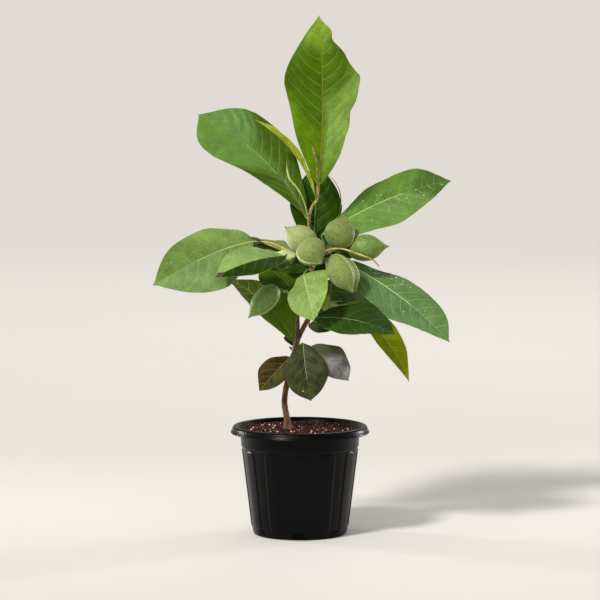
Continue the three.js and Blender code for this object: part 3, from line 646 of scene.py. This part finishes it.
class Blade:
    """The arched surface of a leaf, by the source's rule, with its side veins' relief."""

    def __init__(self, leaf, base, seed):
        self.leaf = leaf
        self.base = base
        self.tip = base + leaf.blade
        self.length = np.linalg.norm(leaf.blade)
        along = unit(leaf.blade)
        self.up = unit(leaf.face - leaf.face.dot(along) * along)
        self.bend = (base + leaf.blade * leaf.bend + self.up * 2 * leaf.lift
                     + np.cross(along, self.up) * 2 * leaf.bow)
        self.phase = hash01(seed) * 2 * math.pi
        self.fold = math.radians(leaf.fold)
        self.veins = max(5, round(self.length / VEIN_SPACING))
        self.seed = seed

    def width(self, s):
        return np.where(s < 0, self.leaf.left[0], self.leaf.right[0])

    def half(self, t, s):
        """The half-width at a share of the blade, with its neck and bumps."""
        left, right = outline(t, self.leaf.left[1]), outline(t, self.leaf.right[1])
        half = self.width(s) * np.where(s < 0, left, right) * (1 - self.leaf.neck * np.exp(-t / NECK_LENGTH))
        for place, size in self.leaf.bumps:
            half = half + np.where(s > 0, size * bell(t, place, BUMP_LENGTH), 0)
        return half + BLADE_END

    def point(self, foot, s, height=0.0):
        """A point of the surface, by its share of the half-width and by where the line through it that runs
        with the side veins leaves the midrib."""
        foot, s = np.broadcast_arrays(np.asarray(foot, float), np.asarray(s, float))
        away = np.abs(s)
        width = self.width(s)
        shift = (VEIN_REACH[0] * away + VEIN_REACH[1] * s ** 2) * width / self.length
        t = foot + shift * np.minimum(1, foot / 0.12) * np.minimum(1, (1 - foot) / 0.5)
        half = self.half(t, s)
        u = t[..., None]
        middle = (1 - u) ** 2 * self.base + 2 * u * (1 - u) * self.bend + u ** 2 * self.tip
        tangent = unit((1 - u) * (self.bend - self.base) + u * (self.tip - self.bend))
        normal = unit(self.up - (tangent @ self.up)[..., None] * tangent)
        phase = self.phase
        ripple = self.leaf.wave * (np.sin(2 * np.pi * 2.6 * t + phase + np.where(s > 0, 1.7, 0)) * s ** 2
                                   * np.minimum(1, 2 * half / width))
        out = half * math.cos(self.fold) + 0.35 * ripple
        rise = half * (math.sin(self.fold) * away - LEAF_ROLL * s ** 2) + ripple
        turn = np.pi * (foot * self.veins + np.where(s < 0, 0.5, 0))
        window = ramp(away, 0, 0.3) * ramp(1 - away, 0, 0.3) * ramp(1 - foot, 0.02, 0.2)
        quilt = QUILT * window * (np.abs(np.sin(turn)) ** 0.8 - 0.55)
        x, y = t * self.length, s * half
        broad = (np.sin(0.27 * x + 2.3 * np.sin(0.15 * y + phase))
                 * np.cos(0.33 * y + 1.9 * np.sin(0.12 * x + 2 * phase)))
        small = (np.sin(0.74 * x + 2 * np.sin(0.41 * y + 3 * phase))
                 * np.cos(0.69 * y + 2 * np.sin(0.38 * x + phase)))
        crumple = CRUMPLE * (0.7 * broad + 0.3 * small) * ramp(away, 0.02, 0.25)
        rise = rise + min(1, self.length / 110) * (quilt + crumple) + height
        return middle + np.cross(tangent, normal) * (s * out)[..., None] + normal * rise[..., None]

    def normal(self, foot, s):
        step = 0.004
        forward = self.point(np.minimum(foot + step, 1), s) - self.point(np.maximum(foot - step, 0), s)
        across = self.point(foot, np.minimum(s + 0.02, 1)) - self.point(foot, np.maximum(s - 0.02, -1))
        return unit(np.cross(across, forward))


INNER = np.linspace(-MARGIN, MARGIN, LEAF_COLUMNS + 1)


def grow_blade(shape, blade):
    """A thin closed blade with a coloured margin. Its rows follow the side veins."""
    steps = VEIN_ROWS * blade.veins
    foot = np.concatenate([np.arange(2 * VEIN_ROWS) / (2 * steps), np.arange(VEIN_ROWS, steps + 1) / steps])
    s = np.concatenate([[-1], INNER, [1]])
    upper = blade.point(foot[:, None], s[None], LEAF_THICKNESS / 2)
    under = blade.point(foot[:, None], s[None, ::-1], -LEAF_THICKNESS / 2)
    half = LEAF_COLUMNS // 2
    top, bottom, rim = ([shape.slot_of(f"{part}_{tint}") for tint in blade.leaf.tints]
                        for part in ("leaf", "under", "margin"))
    slots = np.array([rim[0]] + [top[0]] * half + [top[1]] * half + [rim[1]] * 3
                     + [bottom[1]] * half + [bottom[0]] * half + [rim[0]] * 2)
    slots = np.repeat(slots[None], len(foot) - 1, axis=0)
    if blade.leaf.brown_tip:
        around = np.concatenate([s, s[::-1]])
        edge = blade.leaf.brown_tip + 0.012 * np.sin(9 * around + blade.seed) + 0.02 * np.abs(around)
        slots[foot[:-1, None] > edge[None]] = shape.slot_of("scorched")
    away = (INNER[:-1] + INNER[1:])[None] / 2
    ragged = ((foot[:-1] + foot[1:]) / 2)[:, None] + 0.012 * np.sin(11 * away + blade.seed)
    upper_side = slots[:, 1:LEAF_COLUMNS + 1]
    for t0, t1, s0, s1, tint in blade.leaf.zones:
        depth = np.ones_like(ragged)
        for start, way, soft, place in ((t0, 1, SOFT[0], ragged), (t1, -1, SOFT[0], ragged),
                                        (s0, 1, SOFT[1], away), (s1, -1, SOFT[1], away)):
            edge = (place - start) * way
            depth = np.minimum(depth, np.sign(edge) if start in (-1, 0, 1) else edge / soft + 0.5)
        depth = np.round(BLEND_STEPS * np.clip(depth, 0, 1))
        for own, side in zip(blade.leaf.tints, (away < 0, away > 0)):
            for step in range(1, BLEND_STEPS + 1):
                upper_side[(depth == step) & side] = shape.slot_of(upper_look(own, tint, step))
    shape.grid(np.concatenate([upper, under], axis=1), slots)


def grow_vein(shape, blade, foot, s, widths, heights, slot, side):
    """A ridge along a line on the blade. side is 1 on its upper side and -1 on its underside."""
    middle = blade.point(foot, s, side * LEAF_THICKNESS / 2)
    normal = blade.normal(foot, s) * side
    across = unit(np.cross(unit(np.gradient(middle, axis=0)), normal)) * widths[:, None]
    profile = [(1, -0.25), (0.55, 0.55), (0, 1), (-0.55, 0.55), (-1, -0.25)]
    shape.grid(np.stack([middle + across * x + normal * (y * heights[:, None] - 0.02)
                         for x, y in profile], axis=1), slot)


def grow_veins(shape, blade):
    """The midrib, pale and thick at its foot, and the side veins, on both sides of the blade."""
    size = min(1, blade.length / 130)
    t = np.linspace(0.0, 0.985, 70)
    thin = size * (1 - t) ** 0.75
    veins = [shape.slot_of(f"veins_{tint}") for tint in blade.leaf.tints]
    rib = np.where(t[:-1] > 0.62, veins[0], shape.slot_of(f"midrib_{blade.leaf.tints[0]}"))
    if blade.leaf.foot:
        rib = np.where(t[:-1] < 0.34, shape.slot_of(blade.leaf.foot), rib)
    grow_vein(shape, blade, t, 0 * t, 0.18 + 0.8 * thin, 0.12 + 0.35 * thin, rib[:, None], 1)
    grow_vein(shape, blade, t, 0 * t, 0.25 + 1.1 * thin, 0.2 + 0.8 * thin, rib[:, None], -1)
    away = INNER[LEAF_COLUMNS // 2:-1]
    thin = size * (1 - 0.8 * away)
    for way, lag, vein in ((-1, 0.5, veins[0]), (1, 0, veins[1])):
        for foot in (np.arange(1, blade.veins + 1) - lag) / blade.veins:
            if foot > LAST_VEIN:
                continue
            for side, wide, high in ((1, 0.5, 0.17), (-1, 0.45, 0.36)):
                grow_vein(shape, blade, foot + 0 * away, way * away, wide * thin + 0.07, high * thin + 0.03,
                          vein, side)


def grow_leaf(blades, wood, leaf, root, seed):
    base = root + leaf.petiole
    blade = Blade(leaf, base, seed)
    grow_blade(blades, blade)
    grow_veins(blades, blade)
    sag = np.array([0, 0, np.linalg.norm(leaf.petiole) * 0.08])
    route = [root, (root + base) / 2 + sag, blade.point(0, 0, -0.2), blade.point(0.08, 0, -0.2)]
    centres, shares = even_points(route, 26)
    radii = taper((PETIOLE_RADIUS[0] * 0.95, PETIOLE_RADIUS[1] * 0.62), shares)
    tube(wood, centres, dome(shares, radii + 0.55 * bell(shares, 0.02, 0.06)), leaf.stalk)
    return blade


def grow_fruit(flesh, wood, seed, root, stalk, reach, width, keel, tint, seam="keel", band=0.03):
    """An egg with a drawn-out point and a keel down one side, on a stalk sunk in its end."""
    base = root + np.array(stalk, float)
    length = np.linalg.norm(reach)
    axis = unit(reach)
    keel = unit(keel - np.dot(keel, axis) * axis)
    other = np.cross(axis, keel)
    lift = np.linspace(0.02, np.pi - 0.02, FRUIT_GRID[0])
    around = circle(FRUIT_GRID[1])
    t = (1 - np.cos(lift)) / 2
    body = np.sin(lift)
    radius = width / 2 * (1.04 - 0.08 * t) * body * (1 - 0.75 * t ** 14)
    height = length * (0.865 * t + 0.135 * t ** 20) + 0.8 * np.exp(-t / 0.02)
    turn = np.minimum(around, 2 * np.pi - around)
    ridge = 0.55 * bell(turn, 0, 0.06) - 0.2 * bell(turn, 0.17, 0.07) - 0.45 * bell(turn, np.pi, 0.09)
    spread = radius[:, None] + ridge[None] * body[:, None] ** 0.7
    ways = np.cos(around)[None, :, None] * keel + np.sin(around)[None, :, None] * other
    points = base + axis * height[:, None, None] + ways * spread[..., None]
    points += ways * (0.35 * lumps(points + 40 * seed, 14) * body[:, None])[..., None]
    skin, pale, brown = (flesh.slot_of(look) for look in (tint, seam, "beak"))
    slots = np.where(np.minimum(turn, np.roll(turn, -1)) < band, pale, skin)
    flesh.grid(points, np.where(t[:-1, None] > POINT_BROWN, brown, slots[None]))
    centres, shares = even_points([root, (root + base) / 2 + (0, 0, 1), base + axis * 3], 22)
    radii = taper(STALK_RADIUS, shares) * 0.85 + 0.9 * bell(shares, 0.93, 0.06)
    tube(wood, centres, radii, "stalk_green")


def grow_twig(shape, stem, at, bends, radius, tint, dark_from=1, furled=False):
    root = curve_point(stem, at)
    centres, shares = even_points([root] + [root + np.array(bend, float) for bend in bends], 60)
    radii = taper(radius, shares) * 0.85
    if furled:
        radii = radii * (0.8 + 0.7 * bell(shares, 0.78, 0.14)) * (1 - 0.8 * ramp(shares, 0.86, 1))
    else:
        knots = 1 + 0.12 * np.sin(shares * 31) * np.sin(shares * 13)
        radii = radii * knots * (1 - 0.5 * ramp(shares, 0.7, 1))
    slots = np.where(shares[:-1] < dark_from, shape.slot_of(tint), shape.slot_of("twig_dark"))
    tube(shape, centres, dome(shares, radii), slots[:, None])


def grow_stem(shape, name, scars):
    """A mass's own stem, with scars round it where its leaves start."""
    route, radius = STEMS[name]
    centres, shares = even_points(route, 60)
    radii = taper(radius, shares)
    for place in scars:
        radii = radii + 0.35 * bell(shares, place, 0.025)
    tube(shape, centres, dome(shares, radii), "twig_brown", 16, lambda around: 0.05 * np.sin(5 * around))


drops = []


def wet_leaf(blade, seed):
    """Spots of water on a leaf's upper side."""
    random = np.random.default_rng(seed)
    for count, along, across in blade.leaf.drops:
        t = random.uniform(*along, count)
        s = random.uniform(*across, count)
        size = 0.24 + 0.85 * random.uniform(0, 1, count) ** 3
        drops.extend(zip(blade.point(t, s, LEAF_THICKNESS / 2), blade.normal(t, s), size))


def grow_mass(name):
    blades, wood, flesh = Shape(), Shape(), Shape()
    route = STEMS[name][0]
    seed = len(name)
    leaves = LEAVES[name] + [back_leaf(31 * i + seed, *facts)
                             for i, facts in enumerate(BACK_LEAVES.get(name, ()))]
    grow_stem(wood, name, [leaf.at for leaf in leaves])
    for i, leaf in enumerate(leaves + SMALL_LEAVES.get(name, [])):
        wet_leaf(grow_leaf(blades, wood, leaf, curve_point(route, leaf.at), i + seed), 7 * i + seed)
    for i, (at, *facts) in enumerate(FRUIT.get(name, ())):
        grow_fruit(flesh, wood, i + seed, curve_point(route, at), *facts)
    for twig in TWIGS.get(name, ()):
        grow_twig(wood, route, *twig)
    foliage = "dark_leaf" if name in ("low_right_leaves", "front_sprig") else "leaf"
    if name == "top_shoot":
        foliage = "young_leaf"
    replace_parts(blades.build(f"leaves_{name}", foliage), name)
    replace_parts(wood.build(f"twigs_{name}", "bark"), name)
    if FRUIT.get(name):
        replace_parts(flesh.build(f"fruit_{name}", "fruit"), name)


for mass in LEAVES:
    grow_mass(mass)

# The trunk and the side bough, with fissured bark, rings at the shoots, and a flare cut flat at the soil
NODE_HEIGHTS = (150, 172, 194, 213, 226, 250, 274, 299, 309, 316)


def grow_limb(name, steps, sides, flare=0, lowest=0):
    """A limb of bark that flares towards the soil and is cut off flat at its lowest."""
    shape = Shape()
    route, radius = STEMS[name]
    centres, shares = even_points(route, steps)
    radii = taper(radius, shares)
    height = centres[:, 2]
    for place in NODE_HEIGHTS:
        radii = radii + 0.28 * bell(height, place, 1.6)
    spread = flare * np.minimum(np.exp((SOIL_TOP - height) / FLARE_FADE), 1)

    def relief(around):
        """Long ridges, faint rings, and the lobes of the flare."""
        where = np.empty((steps + 1, sides, 3))
        where[..., :2] = np.stack([np.cos(around), np.sin(around)], axis=1) * 3.2
        where[..., 2] = height[:, None] * 0.22
        ridges = lumps(where, 0.8, 4)
        where[..., :2] *= 0.3
        where[..., 2] = height[:, None]
        rings = lumps(where, 1.1, 2)
        return 0.22 * ridges + 0.07 * rings + spread[:, None] * (1 + 0.6 * np.cos(5 * around + 0.6))

    tube(shape, centres, dome(shares, radii), "bark", sides, relief, lowest)
    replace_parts(shape.build(name + "_bark", "bark"), name)


grow_limb("trunk", *TRUNK_GRID, FLARE, SOIL_TOP + GAP)
grow_limb("side_bough", *BOUGH_GRID)

# The pot


def body_radius(z):
    return BASE_RADIUS + (SHOULDER_RADIUS - BASE_RADIUS) * z / SHOULDER_HEIGHT


def rounded(profile, radius, steps=4):
    """A profile with each corner replaced by a small curve, and its long sides divided."""
    points = [np.asarray(p, float) for p in profile]
    made = [points[0]]
    for before, corner, after in zip(points, points[1:], points[2:]):
        reach = min(radius, np.linalg.norm(corner - before) / 2.2, np.linalg.norm(after - corner) / 2.2)
        start = corner + unit(before - corner) * reach
        end = corner + unit(after - corner) * reach
        made += [(1 - w) ** 2 * start + 2 * w * (1 - w) * corner + w ** 2 * end
                 for w in np.linspace(0, 1, steps)]
    divided = [made[0]]
    for point in made[1:] + [points[-1]]:
        last = divided[-1]
        parts = max(1, int(np.linalg.norm(point - last) / 2.2))
        divided += [last + (point - last) * k / parts for k in range(1, parts + 1)]
    return np.array(divided)


def lathe(shape, profile, segments, slot, place):
    """A closed body of revolution. place(points, angle) moves its points."""
    angle = circle(segments)[None]
    radius, z = profile[:, :1], profile[:, 1:]
    points = np.stack([radius * np.sin(angle), -radius * np.cos(angle), z + 0 * angle], axis=2)
    shape.grid(place(points, angle), slot)


def ribbed(points, angle):
    """Swells the outside of the pot into ribs with rounded ends and edges."""
    z = points[..., 2]
    radius = np.hypot(points[..., 0], points[..., 1])
    pitch = 2 * np.pi / RIBS
    corner = 6.0
    away = (np.abs(angle - np.round(angle / pitch) * pitch) - RIB_HALF_ANGLE) * body_radius(z)
    past = np.abs(z - (RIB_SPAN[0] + RIB_SPAN[1]) / 2) - (RIB_SPAN[1] - RIB_SPAN[0]) / 2
    edge = np.hypot(np.maximum(away + corner, 0), np.maximum(past + corner, 0)) - corner
    relief = np.where(np.abs(radius - body_radius(z)) < WALL / 2, RIB_RELIEF * (1 - ramp(edge, -1.6, 0.2)), 0)
    points[..., :2] *= (1 + relief / np.maximum(radius, 1))[..., None]
    return points


def pot_profile():
    skirt = POT_HEIGHT - 8.5
    inner = COLLAR_RADIUS - WALL
    return [
        (0.4, 0), (BASE_RADIUS - 2, 0), (BASE_RADIUS - 0.4, 1.2), (body_radius(5), 5), (body_radius(52), 52),
        (body_radius(99), 99), (SHOULDER_RADIUS, SHOULDER_HEIGHT),
        (COLLAR_RADIUS - 0.6, SHOULDER_HEIGHT + 1.2), (COLLAR_RADIUS, 117), (COLLAR_RADIUS + 2, 123),
        (RIM_RADIUS - 2.9, 123.4), (RIM_RADIUS - 1.3, skirt), (RIM_RADIUS, skirt), (RIM_RADIUS, skirt + 1.5),
        (RIM_RADIUS - 1.5, 123.2), (RIM_RADIUS - 2.3, 126.2), (RIM_RADIUS - 4, 127.7),
        (RIM_RADIUS - 7, POT_HEIGHT), (RIM_RADIUS - 9.3, 126.6), (inner + 0.6, 121), (inner, 115),
        (SHOULDER_RADIUS - WALL, SHOULDER_HEIGHT - 1), (body_radius(FLOOR) - WALL, FLOOR), (0.4, FLOOR),
    ]


material("pot_plastic", (6, 6, 7), (4, 4, 5), 0.27, patch=22, grain=1400, grain_depth=0.00006,
         shine=0.1)


def grow_pot():
    shape = Shape()
    lathe(shape, rounded(pot_profile(), 0.9), POT_SEGMENTS, "pot_plastic", ribbed)
    pot = shape.build("pot_shell", "pot_plastic")
    cutter = Shape()
    corners = [(-1, 0), (-1, 0.82), (-0.86, 1), (0.86, 1), (1, 0.82), (1, 0)]
    for i in range(DRAINS):
        turn = DRAIN_TURN + i * 2 * math.pi / DRAINS
        across = np.array([math.cos(turn), math.sin(turn), 0])
        out = np.array([math.sin(turn), -math.cos(turn), 0])
        cutter.grid(np.array([[out * (BASE_RADIUS + depth) + across * x * DRAIN_WIDTH / 2
                               + (0, 0, FLOOR + y * (DRAIN_TOP - FLOOR)) for x, y in corners]
                              for depth in (-4, 4)]), 0)
    tool = placed("drain_cutter", cutter.mesh("drain_cutter"))
    cut = pot.modifiers.new("drains", "BOOLEAN")
    cut.operation = "DIFFERENCE"
    cut.solver = "MANIFOLD"
    cut.object = tool
    bpy.context.view_layer.update()
    done = bpy.data.meshes.new_from_object(pot.evaluated_get(bpy.context.evaluated_depsgraph_get()))
    pot.modifiers.clear()
    pot.data = done
    done.set_sharp_from_angle(angle=math.radians(38))
    bpy.data.objects.remove(tool)
    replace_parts(pot, "pot")


grow_pot()

# The potting mix: a rough fill, bark chips, crumbs and perlite

SOIL_TINTS = [((88, 36, 22), (58, 24, 15)), ((52, 22, 14), (32, 14, 10)), ((126, 60, 37), (90, 40, 25)),
              ((32, 16, 11), (20, 11, 8)), ((158, 98, 68), (122, 70, 47))]
SOIL_SHARES = (0.3, 0.3, 0.14, 0.22, 0.04)
SOIL_GRAIN = dict(patch=400, grain=1500, grain_depth=0.0003)
for i, (light, dark) in enumerate(SOIL_TINTS):
    material(f"mix_{i}", light, dark, 0.75, **SOIL_GRAIN, shine=0.2)
material("mix_shadow", (5, 4, 4), (3, 3, 3), 0.9, **SOIL_GRAIN, shine=0)
material("perlite", (250, 243, 232), (228, 215, 199), 0.7, patch=500, grain=1800, grain_depth=0.0003)


def soil_height(x, y):
    return SOIL_TOP - 0.9 + 0.8 * lumps(np.stack([x, y, 0 * x], axis=-1), 9, 2)


def rough(points, angle):
    """Gives the flat top of the fill its lumps."""
    height = soil_height(points[..., 0], points[..., 1]) + 0.35 * lumps(points * (1, 1, 0), 1.6, 2)
    points[..., 2] = np.where(points[..., 2] > SOIL_TOP - 0.5, height, points[..., 2])
    return points


def grow_fill():
    drained = DRAIN_TOP + 3
    wall = WALL + 2 * GAP
    sides = [(0.4, FLOOR + GAP), (body_radius(FLOOR) - WALL - 8, FLOOR + GAP),
             (body_radius(drained) - WALL - 8, drained), (body_radius(drained) - wall, drained),
             (body_radius(101) - wall, 101), (COLLAR_RADIUS - WALL - GAP, 115),
             (COLLAR_RADIUS - WALL - GAP, SOIL_TOP - 3)]
    top = [(r, SOIL_TOP) for r in np.linspace(COLLAR_RADIUS - WALL + 0.6, 0.4, 72)]
    shape = Shape()
    profile = np.array(sides + top)
    slots = np.where(profile[:-1, 1] < drained + 1, shape.slot_of("mix_shadow"), shape.slot_of("mix_1"))
    lathe(shape, profile, FILL_SEGMENTS, slots[:, None], rough)
    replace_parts(shape.build("potting_mix_fill", "potting_mix"), "soil")


def rotations(count, random):
    """Random turns, as matrices."""
    w, x, y, z = unit(random.normal(size=(count, 4))).T
    rows = [[1 - 2 * (y * y + z * z), 2 * (x * y - z * w), 2 * (x * z + y * w)],
            [2 * (x * y + z * w), 1 - 2 * (x * x + z * z), 2 * (y * z - x * w)],
            [2 * (x * z - y * w), 2 * (y * z + x * w), 1 - 2 * (x * x + y * y)]]
    return np.moveaxis(np.array(rows), -1, 0)


def scatter(shape, x, y, rises, sizes, names, sides, flat, random):
    """Broken lumps on the soil, each a crooked barrel of some sides."""
    rows = [(-1.0, 0.45), (-0.35, 1.0), (0.4, 0.9), (1.0, 0.4)]
    barrel = np.array([[(r * math.cos(a), r * math.sin(a), z) for a in circle(sides)] for z, r in rows])
    lump = barrel[None] * (1 + random.uniform(-0.22, 0.22, (len(x),) + barrel.shape))
    lump = lump * sizes[:, None, None, None] * np.array(flat)
    turned = np.einsum("nij,nrcj->nrci", rotations(len(x), random), lump)
    turned += np.stack([x, y, soil_height(x, y) + rises], axis=1)[:, None, None]
    for points, name in zip(turned, names):
        shape.grid(points, name)


def on_soil(random, count, limit, hole):
    """Places evenly over the soil, clear of the trunk."""
    radius = limit * np.sqrt(random.uniform(0, 1, count))
    angle = random.uniform(0, 2 * np.pi, count)
    x, y = radius * np.cos(angle), radius * np.sin(angle)
    foot = STEMS["trunk"][0][0]
    keep = np.hypot(x - foot[0], y - foot[1]) > hole
    return x[keep], y[keep]


def grow_chips():
    random = np.random.default_rng(11)
    shape = Shape()
    x, y = on_soil(random, CHIPS, COLLAR_RADIUS - WALL - 0.6, 5)
    rises = random.uniform(-0.3, 0.7, len(x))
    sizes = 0.55 + random.uniform(0, 1, len(x)) ** 2.5
    names = random.choice([f"mix_{i}" for i in range(len(SOIL_TINTS))], len(x), p=SOIL_SHARES)
    scatter(shape, x, y, rises, sizes, names, 5, (1, 0.75, 0.6), random)
    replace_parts(shape.build("potting_mix_chips", "potting_mix", sharp=40), "soil")


def grow_perlite():
    """White bits, spread over the mix and gathered at the front left."""
    random = np.random.default_rng(5)
    shape = Shape()
    x, y = on_soil(random, PERLITE[0], 60, 8)
    near = random.normal(size=(PERLITE[1], 2)) * (12, 14) + (-32, -12)
    x, y = np.concatenate([x, near[:, 0]]), np.concatenate([y, near[:, 1]])
    sizes = 0.42 + random.uniform(0, 1, len(x)) ** 2.5
    scatter(shape, x, y, 0.9, sizes, ["perlite"] * len(x), 7, (1, 0.9, 0.8), random)
    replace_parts(shape.build("perlite_bits"), "soil")


grow_fill()
grow_chips()
grow_perlite()

# Spots of water, near white as painted glints
material("water", (236, 244, 238), (226, 238, 230), 0.05, grain_depth=0.00001, clear=0.45, ior=1.33)


def grow_drops():
    shape = Shape()
    around = circle(12)[:, None]
    rows = [(0.9, -0.08), (1.0, 0.05), (0.82, 0.32), (0.5, 0.5), (0.15, 0.58)]
    for place, way, size in drops:
        across = unit(np.cross(way, (0.2, 0.5, 1)))
        round_it = np.cos(around) * across + np.sin(around) * np.cross(way, across)
        shape.grid(np.array([place + size * (r * round_it + z * way) for r, z in rows]), "water")
    shape.build("water_drops")


grow_drops()

# The stage


def plain_floor():
    mesh = bpy.data.meshes.new("studio_floor")
    corners = [(x * 150, y * 150, 0) for x, y in ((-1, -1), (1, -1), (1, 1), (-1, 1))]
    mesh.from_pydata(corners, [], [(0, 1, 2, 3)])
    material("studio_floor", (226, 223, 219), (225, 222, 218), 0.9, patch=3, grain=60, grain_depth=0.0002,
             shine=0)
    mesh.materials.append(looks["studio_floor"])
    placed("studio_floor", mesh)


def aimed(thing, place, aim):
    thing.location = place
    thing.rotation_euler = (Vector(aim) - Vector(place)).to_track_quat("-Z", "Y").to_euler()


def light(name, kind, place, power, colour, **facts):
    data = bpy.data.lights.new(name, kind)
    data.energy = power
    data.color = colour
    for fact, value in facts.items():
        setattr(data, fact, value)
    aimed(placed(name, data), place, LAMP_AIM)


def studio():
    plain_floor()
    disk = dict(shape="DISK", size=1.4)
    strip = dict(shape="RECTANGLE", size=0.14, size_y=0.8, spread=math.radians(50))
    light("key", "SUN", (-1.5, -1.9, 2.4), 2.65, (1.0, 0.975, 0.94), angle=math.radians(10))
    light("front", "AREA", (-0.9, -3.2, 2.0), 10, (1.0, 0.98, 0.95), **disk)
    light("left", "AREA", (-1.5, 0.8, 0.45), 1.6, (1.0, 0.99, 0.97), **strip)
    light("right", "AREA", (1.5, 1.0, 0.45), 1.6, (0.95, 0.98, 1.0), **strip)
    light("back", "AREA", (0.6, 2.6, 2.2), 10, (1.0, 0.98, 0.95), **disk)
    world = bpy.data.worlds.new("studio")
    world.use_nodes = True
    sky = world.node_tree.nodes["Background"]
    sky.inputs["Color"].default_value = (0.95, 0.93, 0.9, 1)
    sky.inputs["Strength"].default_value = 0.46
    bpy.context.scene.world = world
    bpy.context.scene.view_settings.view_transform = "Standard"
    data = bpy.data.cameras.new("camera")
    data.lens = 206.47
    data.sensor_width = 36
    data.clip_end = 400
    camera = placed("camera", data)
    aimed(camera, CAMERA_PLACE, CAMERA_AIM)
    bpy.context.scene.camera = camera


studio()
